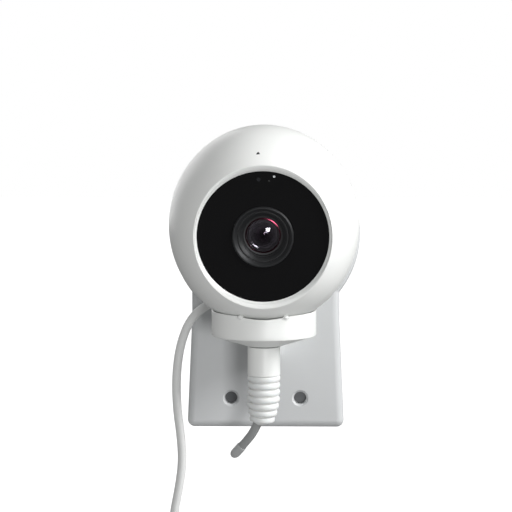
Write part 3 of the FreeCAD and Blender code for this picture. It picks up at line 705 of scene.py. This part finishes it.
def facePieces(look):
    bezel = turned("bezelRing", roundCorners(look["bezel"], look["bezelRadii"]), headCentre, segments=224)
    pieceFromMesh("bezelRing", bezel, materials["whiteAbs"], onHead, ["bezel_ring"])
    barrel = turned("lensBarrel", roundCorners(look["barrel"], look["barrelRadii"], 4), headCentre,
                    segments=192)
    pieceFromMesh("lensBarrel", barrel, materials["blackAnodised"], onHead, ["lens_barrel"])
    radius, sag = look["lensRadius"], look["lensSag"]
    sphere = (radius ** 2 + sag ** 2) / (2 * sag)
    front = lensMesh("frontLens", domeProfile(radius, sphere, look["lensFront"], look["lensBack"]),
                     backSphere=look["lensHollow"])
    pieceFromMesh("frontLens", front, materials["coatedGlass"], onHead, ["front_lens"],
                  angle=40)
    inner, innerSphere, innerFront = look["innerRadius"], look["innerSphere"], look["innerFront"]
    dome = lensMesh("innerLens", domeProfile(inner, innerSphere, innerFront, look["innerBack"]))
    # the inner element is painted shade: black for the dark inside the camera behind it
    pieceFromMesh("innerLens", dome, materials["shadeBlackGlass"], onHead, ["rear_lens"], angle=40)
    ring = turned("lensRim", roundCorners(look["rim"], look["rimRadii"]), headCentre, segments=160)
    pieceFromMesh("lensRim", ring, materials["magentaCoat"], onHead)
    seat = turned("lensSeat", roundCorners(look["seat"], look["seatRadii"]), headCentre, segments=160)
    pieceFromMesh("lensSeat", seat, materials["polishedBlack"], onHead)
    retainer = turned("lensRetainer", roundCorners(look["retainer"], [0.1] * 6), headCentre, segments=160)
    pieceFromMesh("lensRetainer", retainer, materials["blackAnodised"], onHead,
                  ["lens_retainer"])


facePieces(faceLook)


# what carries the head: the turning collar and its base, the stem, the ribbed relief
print("collar and stem")
collarLook = {
    "radius": 21.0,
    "wall": 1.8,
    "bottom": -44.0,  # all heights from the head's centre
    "rimGap": 0.4,
    "round": 0.32,
    "notchRadius": 38.9,
    "notchLow": -35.81,  # lowest point of the arc cut in the front of the rim
    "segments": 224,
    "nubs": {"x": 8.9, "y": -18.95, "z": -35.0, "radius": 0.95, "stretch": 1.3, "turn": 25},
}


def rimHeight(look, x, y):
    gap = look["rimGap"]
    halfX, halfY = headHalfWidth / mm + gap, headRadius / mm + gap
    height = -halfY * math.sqrt(1 - (x / halfX) ** 2 - (y / halfY) ** 2)
    if y < 0 and abs(x) < 20:
        notch = look["notchLow"] + look["notchRadius"] - math.sqrt(look["notchRadius"] ** 2 - x ** 2)
        blend = 0.12  # the two edges run into each other over this height
        if notch - height < blend:
            step = max(blend - abs(notch - height), 0) / blend
            height = min(notch, height) - step * step * blend / 4
    return height


def collarMesh(look):
    outer, inner, low, edge = look["radius"], look["radius"] - look["wall"], look["bottom"], look["round"]
    cut, near = outer - edge, inner + 0.15
    rows = []
    for c, n in ringPoints(look["segments"]):
        top = {r: rimHeight(look, r * c, r * n) for r in (outer, cut, (cut + inner) / 2, near, inner)}
        outline = [(inner, low), (outer - 0.25, low), (outer - 0.06, low + 0.06), (outer, low + 0.25)]
        outline += [(outer, low + (top[outer] - 0.75 - low) * k / 5) for k in range(1, 6)]
        outline += [(outer, top[cut] - 0.22), (outer - edge * 0.1, top[cut] - 0.08),
                    (outer - edge * 0.5, top[cut] + 0.03), (cut, top[cut]),
                    ((cut + inner) / 2, top[(cut + inner) / 2]), (near, top[near]), (inner, top[inner] - 0.1)]
        outline += [(inner, low + (top[inner] - 0.8 - low) * k / 4) for k in range(3, 0, -1)]
        rows.append([headCentre + Vector((r * c, r * n, z)) * mm for r, z in outline])
    return closedMesh("collar", rows)


def collarWithNubs(look):
    edit = bmesh.new()
    edit.from_mesh(collarMesh(look))
    nubs = look["nubs"]
    for side in (-1, 1):
        place = headCentre + Vector((side * nubs["x"], nubs["y"], nubs["z"])) * mm
        turn = Matrix.Rotation(side * math.radians(nubs["turn"]), 4, "Z")
        scale = Matrix.Diagonal((nubs["stretch"], 1.0, 1.0, 1.0))
        bmesh.ops.create_uvsphere(edit, u_segments=32, v_segments=20, radius=nubs["radius"] * mm,
                                  matrix=Matrix.Translation(place) @ turn @ scale)
    mesh = bpy.data.meshes.new("collar")
    edit.to_mesh(mesh)
    edit.free()
    return mesh


pieceFromMesh("collar", collarWithNubs(collarLook), materials["whiteAbs"], onCollar,
              ["collar"], angle=40)

stemLook = {
    "axis": (0, -52, 0),
    "base": [(4.55, 4.6), (7.4, 4.6), (20.55, 8.88), (20.72, 9.0), (19.15, 9.0), (19.15, 10.8),
             (12.0, 10.8), (12.0, 8.0), (4.55, 8.0)],
    "baseRadii": [0.1, 0.5, 0.1, 0.03, 0.05, 0.2, 0.2, 0.1, 0.1],
    "stem": [(2.2, -7.5), (6.35, -7.5), (6.57, -7.2), (6.57, 4.2), (4.5, 4.2), (4.5, 10.2), (2.2, 10.2)],
    "stemRadii": [0.05, 0.08, 0.2, 0.5, 0.1, 0.3, 0.1],
}
stemAxis = Vector(stemLook["axis"]) * mm
base = turned("collarBase", roundCorners(stemLook["base"], stemLook["baseRadii"]), stemAxis, "Z", 192)
pieceFromMesh("collarBase", base, materials["whiteAbs"], onCollar, ["collar_base"])
stem = turned("stem", roundCorners(stemLook["stem"], stemLook["stemRadii"]), stemAxis, "Z", 128)
pieceFromMesh("stem", stem, materials["whiteAbs"], onWallSide, ["stem"])

reliefLook = {
    "top": (0, -52, -7.5),
    "length": 19.3,
    "drift": (-0.8, 0.5),  # how far its centre line leans by its end, across and towards the wall
    "ribs": 7,
    "fullRadius": 6.6,
    "evenPart": 0.45,  # the ribs draw in after this part of the length
    "endPart": 0.75,
    "ribDepth": 2.1,
    "fillet": 0.95,
    "coreBelow": 1.15,
}


def reliefCentre(look, t):
    x, y, z = look["top"]
    return Vector((x + look["drift"][0] * t * t, y + look["drift"][1] * t * t, z - look["length"] * t))


def reliefRadius(look, t):
    return look["fullRadius"] * math.sqrt(1 - (max(t - look["evenPart"], 0) / look["endPart"]) ** 2)


def ribTree():
    # a rounded ring on every point, turned along the relief and scaled to its place
    tree = bpy.data.node_groups.new("reliefRibs", "GeometryNodeTree")
    interface = tree.interface
    interface.new_socket("Geometry", in_out="INPUT", socket_type="NodeSocketGeometry")
    for name in ("Ring Radius", "Rib Depth", "Rib Height", "Fillet"):
        interface.new_socket(name, in_out="INPUT", socket_type="NodeSocketFloat")
    interface.new_socket("Finish", in_out="INPUT", socket_type="NodeSocketMaterial")
    interface.new_socket("Geometry", in_out="OUTPUT", socket_type="NodeSocketGeometry")
    given = addNode(tree, "NodeGroupInput")
    circle = addNode(tree, "GeometryNodeCurvePrimitiveCircle", None,
                     {"Resolution": 96, "Radius": given.outputs["Ring Radius"]})
    section = addNode(tree, "GeometryNodeCurvePrimitiveQuadrilateral", None,
                      {"Width": given.outputs["Rib Depth"], "Height": given.outputs["Rib Height"]})
    rounded = addNode(tree, "GeometryNodeFilletCurve", {"mode": "POLY"},
                      {"Curve": section.outputs["Curve"], "Count": 6, "Radius": given.outputs["Fillet"]})
    ring = addNode(tree, "GeometryNodeCurveToMesh", None,
                   {"Curve": circle.outputs["Curve"], "Profile Curve": rounded.outputs["Curve"]})
    along = addNode(tree, "GeometryNodeInputNamedAttribute", {"data_type": "FLOAT_VECTOR"},
                    {"Name": "along"})
    size = addNode(tree, "GeometryNodeInputNamedAttribute", {"data_type": "FLOAT"}, {"Name": "size"})
    turn = addNode(tree, "FunctionNodeAlignRotationToVector", {"axis": "Z"},
                   {"Vector": along.outputs["Attribute"]})
    scale = addNode(tree, "ShaderNodeCombineXYZ", None,
                    {"X": size.outputs["Attribute"], "Y": size.outputs["Attribute"], "Z": 1.0})
    placed = addNode(tree, "GeometryNodeInstanceOnPoints", None,
                     {"Points": given.outputs["Geometry"], "Instance": ring.outputs["Mesh"],
                      "Rotation": turn.outputs["Rotation"], "Scale": scale.outputs["Vector"]})
    finishTree(tree, placed.outputs["Instances"], given.outputs["Finish"])
    return tree


def finishTree(tree, instances, finish):
    whole = addNode(tree, "GeometryNodeRealizeInstances", None, {"Geometry": instances})
    painted = addNode(tree, "GeometryNodeSetMaterial", None,
                      {"Geometry": whole.outputs["Geometry"], "Material": finish})
    addNode(tree, "NodeGroupOutput", None, {"Geometry": painted.outputs["Geometry"]})


def pointsWith(name, places, sizes, directions):
    mesh = meshFrom(name, places, [])
    sizeValues = mesh.attributes.new("size", "FLOAT", "POINT")
    sizeValues.data.foreach_set("value", sizes)
    alongValues = mesh.attributes.new("along", "FLOAT_VECTOR", "POINT")
    alongValues.data.foreach_set("vector", [c for d in directions for c in d])
    return mesh


def joinedMesh(name, meshes):
    edit = bmesh.new()
    for mesh in meshes:
        edit.from_mesh(mesh)
    whole = bpy.data.meshes.new(name)
    edit.to_mesh(whole)
    edit.free()
    return whole


def strainRelief(look):
    ribs, full = look["ribs"], look["fullRadius"]
    pitch = look["length"] / ribs
    places, sizes, directions = [], [], []
    for k in range(ribs):
        here, there = reliefCentre(look, k / ribs), reliefCentre(look, (k + 1) / ribs)
        places.append((here * 0.56 + there * 0.44) * mm)
        sizes.append(reliefRadius(look, (k + 0.5) / ribs) / full)
        directions.append((there - here).normalized())
    values = {"Ring Radius": (full - look["ribDepth"] / 2) * mm, "Rib Depth": look["ribDepth"] * mm,
              "Rib Height": pitch * 0.86 * mm, "Fillet": look["fillet"] * mm,
              "Finish": materials["softElastomer"]}
    rings = bakeNodes("reliefRibs", ribTree(), values, pointsWith("ribPlaces", places, sizes, directions))
    sections = []
    for k in range(22):
        t = k / 20
        centre = reliefCentre(look, min(t, 1.0)) + Vector((0, 0, -1)) * max(t - 1, 0) * look["length"]
        inset = look["coreBelow"] + (1.3 if k == 21 else 0.0)
        radius = reliefRadius(look, min(t, 1.0)) - inset
        sections.append([(centre + Vector((radius * c, radius * n, 0))) * mm for c, n in ringPoints(72)])
    core = lofted("reliefCore", sections)
    outwards(rings)
    return joinedMesh("strainRelief", [rings, core])


pieceFromMesh("strainRelief", strainRelief(reliefLook), materials["softElastomer"], onWallSide,
              ["probe_strain_relief"], angle=50)


# the probe's cap at the end of its lead
tipLook = {"radius": 2.12, "length": 7.1, "collar": 0.5, "squash": 0.94}


def probeCap(look):
    before, end = (Vector(p) * mm for p in probeLead["route"][-2:])
    along = (end - before).normalized()
    radius, length = look["radius"], look["length"]
    stations = [(0.0, 1.3), (0.02, radius - 0.35), (0.12, radius - 0.12), (look["collar"], radius),
                (look["collar"] + 0.5, radius)]
    straight = length - radius * 1.35
    stations += [(straight * k / 4, radius) for k in (1, 2, 3, 4)]
    for k in range(1, 13):
        a = math.pi / 2 * k / 12
        stations.append((straight + radius * 1.35 * math.sin(a), max(radius * math.cos(a), 0.04)))
    return rodMesh("probeTip", sorted(stations), end, along, 72, look["squash"])


probeTip = pieceFromMesh("probeTip", probeCap(tipLook), materials["probeAbs"], onWallSide,
                         ["probe_tip"])


# small repeated pieces, placed by node trees
print("small pieces")
smallLook = {
    "holeShadePlaces": [(side * 15.0, -1.4, height) for side in (-1, 1) for height in (-25.0, 25.0)],
    "holeShadeRadius": 2.66,
    "holeShadeThickness": 0.7,
    "screwPlaces": [(0.0, -2.3, 0.0), (0.0, -2.3, 13.0)],
    "screwRadius": 3.0,
    "screwNeck": 1.6,
    "screwHeight": 1.9,
    "crossLength": 3.2,
    "crossWidth": 0.75,
    "crossDepth": 1.3,
    "mark": {"side": 1.05, "x": -1.8, "lift": -52.7, "proud": 0.03, "round": 0.25},
}


def placesTree(name, sizes, build):
    # what build makes, set on every point with its own Z along the point's direction
    tree = bpy.data.node_groups.new(name, "GeometryNodeTree")
    tree.interface.new_socket("Geometry", in_out="INPUT", socket_type="NodeSocketGeometry")
    for size in sizes:
        tree.interface.new_socket(size, in_out="INPUT", socket_type="NodeSocketFloat")
    tree.interface.new_socket("Finish", in_out="INPUT", socket_type="NodeSocketMaterial")
    tree.interface.new_socket("Geometry", in_out="OUTPUT", socket_type="NodeSocketGeometry")
    given = addNode(tree, "NodeGroupInput")
    along = addNode(tree, "GeometryNodeInputNamedAttribute", {"data_type": "FLOAT_VECTOR"},
                    {"Name": "along"})
    turn = addNode(tree, "FunctionNodeAlignRotationToVector", {"axis": "Z"},
                   {"Vector": along.outputs["Attribute"]})
    placed = addNode(tree, "GeometryNodeInstanceOnPoints", None,
                     {"Points": given.outputs["Geometry"], "Instance": build(tree, given),
                      "Rotation": turn.outputs["Rotation"]})
    finishTree(tree, placed.outputs["Instances"], given.outputs["Finish"])
    return tree


# a disc for each screw hole of the plate: painted shade for the hole's dark inside
def shadeDiscShape(tree, given):
    disc = addNode(tree, "GeometryNodeMeshCylinder", None,
                   {"Vertices": 48, "Radius": given.outputs["Radius"], "Depth": given.outputs["Thickness"]})
    return disc.outputs["Mesh"]


def crossHead(tree, given):
    head = addNode(tree, "GeometryNodeMeshCone", None,
                   {"Vertices": 64, "Radius Top": given.outputs["Radius"],
                    "Radius Bottom": given.outputs["Neck"], "Depth": given.outputs["Height"]})
    cutter = addNode(tree, "GeometryNodeMeshBoolean", {"operation": "DIFFERENCE", "solver": "EXACT"},
                     {"Mesh 1": head.outputs["Mesh"]})
    depth = addNode(tree, "ShaderNodeMath", {"operation": "MULTIPLY"},
                    {0: given.outputs["Cross Depth"], 1: 2.0})
    lift = addNode(tree, "ShaderNodeCombineXYZ", None, {"Z": given.outputs["Height"]})
    for x, y in (("Cross Length", "Cross Width"), ("Cross Width", "Cross Length")):
        size = addNode(tree, "ShaderNodeCombineXYZ", None,
                       {"X": given.outputs[x], "Y": given.outputs[y], "Z": depth.outputs[0]})
        bar = addNode(tree, "GeometryNodeMeshCube", None, {"Size": size.outputs["Vector"]})
        raised = addNode(tree, "GeometryNodeTransform", None,
                         {"Geometry": bar.outputs["Mesh"], "Translation": lift.outputs["Vector"]})
        tree.links.new(raised.outputs["Geometry"], cutter.inputs["Mesh 2"])
    return cutter.outputs["Mesh"]


def browMark(look):
    # a small three-cornered window, flush with the brow of the front shell
    corners = [(look["side"] * math.sin(a), look["side"] * math.cos(a))
               for a in (0.0, math.tau / 3, 2 * math.tau / 3)]
    loop = roundCorners(corners, [look["round"]] * 3, 4)
    lift = Matrix.Rotation(math.radians(look["lift"]), 3, "X")
    outer = headRadius / mm + look["proud"] - 0.045
    sections = []
    for depth, grow in ((outer, 0.9), (outer - 0.06, 1.0), (outer - 1.5, 1.0)):
        sections.append([headCentre + lift @ Vector((look["x"] + u * grow, -depth, w * grow)) * mm
                         for u, w in loop])
    return lofted("browMark", sections)


def wallPoints(name, places):
    # points whose pieces face the wall
    count = len(places)
    return pointsWith(name, [Vector(p) * mm for p in places], [1.0] * count, [(0.0, 1.0, 0.0)] * count)


def smallPieces(look):
    # grey discs in the plate's screw holes: painted shade for the dark inside of each hole
    places = wallPoints("holeShadePlaces", look["holeShadePlaces"])
    seals = bakeNodes("holeShadeDiscs", placesTree("holeShadeDiscTree", ("Radius", "Thickness"), shadeDiscShape),
                      {"Radius": look["holeShadeRadius"] * mm, "Thickness": look["holeShadeThickness"] * mm,
                       "Finish": materials["holeShadeGrey"]}, places)
    pieceFromMesh("holeShadeDiscs", seals, materials["holeShadeGrey"], onWallSide)
    places = wallPoints("screwPlaces", look["screwPlaces"])
    names = ("Radius", "Neck", "Height", "Cross Length", "Cross Width", "Cross Depth")
    keys = ("screwRadius", "screwNeck", "screwHeight", "crossLength", "crossWidth", "crossDepth")
    values = {name: look[key] * mm for name, key in zip(names, keys)}
    heads = bakeNodes("armScrews", placesTree("crossHeads", names, crossHead),
                      dict(values, Finish=materials["zincSteel"]), places)
    pieceFromMesh("armScrews", heads, materials["zincSteel"], onWallSide, ["arm_screws"])
    pieceFromMesh("browMark", browMark(look["mark"]), materials["tintedWindow"], onHead,
                  ["status_mark"])


smallPieces(smallLook)


# CAD pieces that keep their shape
cadFinishes = {
    "zincSteel": ["wave_washer", "pan_stop_plate", "pan_nut", "pan_stop_pin", "post_screws", "tilt_axle",
                  "axle_clips", "board_screws", "frame_screws", "speaker_magnet"],
    "nickelSheet": ["usb_plug_shell"],
    "turnedBrass": ["board_pillars"],
    "solderMask": ["camera_board", "main_board", "led_board", "antenna"],
    "blackAcrylic": ["face_panel"],
    "plateGrey": ["wall_plate"],
    "whiteAbs": ["bracket_arm", "cord_gland", "speaker_grille", "pair_button"],
    "blackAbs": ["usb_plug_tongue", "tilt_post", "dust_shield", "inner_frame", "speaker_frame", "pair_switch",
                 "lens_holder", "pan_washer"],
    "nitrile": ["friction_washers", "microphone", "stem_wires"],
    "pressedPaper": ["speaker_cone"],
    "tintedEpoxy": ["ir_leds"],
    "silicon": ["image_sensor"],
    "tintedWindow": ["light_sensor", "ir_filter_glass"],
    "frostedPipe": ["status_led"],
}
for finish, nodes in cadFinishes.items():
    for node in nodes:
        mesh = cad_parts[node].data
        mesh.materials.clear()
        mesh.materials.append(materials[finish])


# floor and light
print("floor and light")
studio = {
    "floorZ": -0.42,
    "floorHalf": 12.0,
    "leftSky": 0.37,  # fill from the left and from above
    "rightSky": 0.34,
    "backSky": 0.13,  # darker behind, so outlines have a thin grey edge
    "darkSky": 0.05,  # the dark patch of the room that the black face mirrors
    "darkTowards": (0.0, -0.954, -0.301),
    "darkEdge": (0.80, 0.975),  # cosines where the patch begins and is full
    "keyPlace": (0.62, -0.21, 0.42),
    "keySize": 0.42,
    "keyPower": 6.4,
    "frontPlace": (0.15, -0.88, 0.03),  # beside the camera: it reaches the plate and makes the lens's spot
    "frontSize": 0.13,
    "frontPower": 2.4,
    "rearPlace": (-0.42, 0.74, 0.30),  # lifts the back and the left outline
    "rearSize": 0.6,
    "rearPower": 2.4,
}


def areaLight(name, place, size, power):
    data = bpy.data.lights.new(name, "AREA")
    data.shape = "SQUARE"
    data.size = size
    data.energy = power
    light = bpy.data.objects.new(name, data)
    bpy.context.scene.collection.objects.link(light)
    light.location = place
    light.rotation_euler = (headCentre - Vector(place)).to_track_quat("-Z", "Y").to_euler()
    return light


def lightStudio(look):
    world = bpy.data.worlds.new("studio")
    bpy.context.scene.world = world
    world.use_nodes = True
    tree = world.node_tree
    tree.nodes.clear()
    output = addNode(tree, "ShaderNodeOutputWorld")
    direction = addNode(tree, "ShaderNodeTexCoord")
    parts = addNode(tree, "ShaderNodeSeparateXYZ", None, {"Vector": direction.outputs["Generated"]})
    across = addNode(tree, "ShaderNodeMapRange", {"interpolation_type": "SMOOTHSTEP"},
                     {"Value": parts.outputs["X"], "From Min": -0.9, "From Max": 0.9,
                      "To Min": look["leftSky"], "To Max": look["rightSky"]})
    behind = addNode(tree, "ShaderNodeMapRange", {"interpolation_type": "SMOOTHSTEP"},
                     {"Value": parts.outputs["Y"], "From Min": -0.1, "From Max": 0.8})
    sides = addNode(tree, "ShaderNodeMix", {"data_type": "FLOAT"},
                    {"Factor": behind.outputs["Result"], "A": across.outputs["Result"], "B": look["backSky"]})
    towards = addNode(tree, "ShaderNodeVectorMath", {"operation": "DOT_PRODUCT"},
                      {0: direction.outputs["Generated"], 1: look["darkTowards"]})
    ahead = addNode(tree, "ShaderNodeMapRange", {"interpolation_type": "SMOOTHSTEP"},
                    {"Value": towards.outputs["Value"], "From Min": look["darkEdge"][0],
                     "From Max": look["darkEdge"][1], "To Min": 0.0, "To Max": 1.0})
    room = addNode(tree, "ShaderNodeMix", {"data_type": "FLOAT"},
                   {"Factor": ahead.outputs["Result"], "A": sides.outputs["Result"], "B": look["darkSky"]})
    ray = addNode(tree, "ShaderNodeLightPath")
    seen = addNode(tree, "ShaderNodeMix", {"data_type": "FLOAT"},
                   {"Factor": ray.outputs["Is Camera Ray"], "A": room.outputs["Result"], "B": 1.0})
    sky = addNode(tree, "ShaderNodeBackground", None,
                  {"Color": toLinear("#FFFFFF"), "Strength": seen.outputs["Result"]})
    tree.links.new(sky.outputs["Background"], output.inputs["Surface"])
    areaLight("key", look["keyPlace"], look["keySize"], look["keyPower"])
    areaLight("front", look["frontPlace"], look["frontSize"], look["frontPower"])
    areaLight("rear", look["rearPlace"], look["rearSize"], look["rearPower"])
    bpy.context.scene.view_settings.view_transform = "Standard"


def paleFloor(look):
    size, height = look["floorHalf"], look["floorZ"]
    corners = [(x * size, y * size, height) for x, y in ((-1, -1), (1, -1), (1, 1), (-1, 1))]
    mesh = meshFrom("floor", corners, [(0, 1, 2, 3)])
    floor = bpy.data.objects.new("floor", mesh)
    bpy.context.scene.collection.objects.link(floor)
    material, tree, output, coords = startMaterial("paleFloor")
    shader = addNode(tree, "ShaderNodeBsdfPrincipled", None,
                     {"Base Color": toLinear("#F6F6F6"), "Emission Color": toLinear("#FFFFFF")})
    endMaterial(tree, output, shader, Roughness=0.8, Emission_Strength=0.95)
    mesh.materials.append(material)
    floor.visible_diffuse = False
    floor.visible_glossy = False
    floor.visible_transmission = False


lightStudio(studio)
paleFloor(studio)

print("done")
